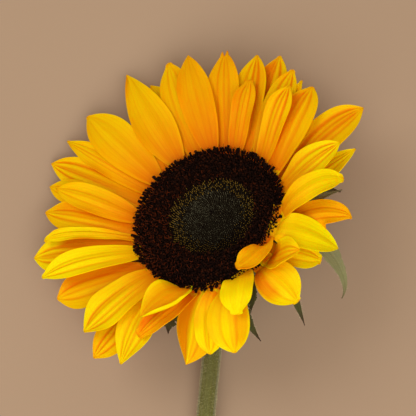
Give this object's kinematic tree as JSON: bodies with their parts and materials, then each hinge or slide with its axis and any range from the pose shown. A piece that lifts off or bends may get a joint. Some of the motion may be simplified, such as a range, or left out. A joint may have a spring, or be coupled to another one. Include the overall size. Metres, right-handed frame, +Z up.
{
  "type": "cut sunflower bloom on a length of stem",
  "caption": "Cut sunflower bloom lying on its back: dark domed disc of florets, ring of yellow ray petals, green bracts behind and a bent length of hairy stem with a flat cut end.",
  "frame": {"origin": "under the middle of the whole flower's box, on the level surface that it lies on", "axes": "+Z up from that surface, -Y along the stem to its cut end, +X to the right with the face towards the viewer and the stem down"},
  "size_m": [0.1492, 0.2114, 0.0729],
  "materials": {
    "petal": "soft satin, deep yellow, orange towards the disc",
    "open_floret": "matt, very dark brown with reddish flecks",
    "bud": "matt, dark olive green with yellow tips",
    "bract": "matt green, finely hairy",
    "stem": "matt yellow green, ridged and finely hairy"
  },
  "bodies": {
    "root": {"stem": "stem", "involucre": "bract", "disc_ring": "open_floret", "disc_centre": "bud", "petal_01": "petal", "petal_02": "petal", "petal_03": "petal", "petal_04": "petal", "petal_05": "petal", "petal_06": "petal", "petal_07": "petal", "petal_08": "petal", "petal_09": "petal", "petal_10": "petal", "petal_11": "petal", "petal_12": "petal", "petal_13": "petal", "petal_14": "petal", "petal_15": "petal", "petal_16": "petal", "petal_17": "petal", "petal_18": "petal", "petal_19": "petal", "petal_20": "petal", "petal_21": "petal", "petal_22": "petal", "petal_23": "petal", "petal_24": "petal", "petal_25": "petal", "petal_26": "petal", "petal_27": "petal", "petal_28": "petal", "petal_29": "petal", "petal_30": "petal", "petal_31": "petal", "petal_32": "petal", "petal_33": "petal", "petal_34": "petal", "petal_35": "petal", "petal_36": "petal", "petal_37": "petal", "petal_38": "petal", "petal_39": "petal", "petal_40": "petal", "petal_41": "petal", "petal_42": "petal", "petal_43": "petal"}
  },
  "joints": []
}
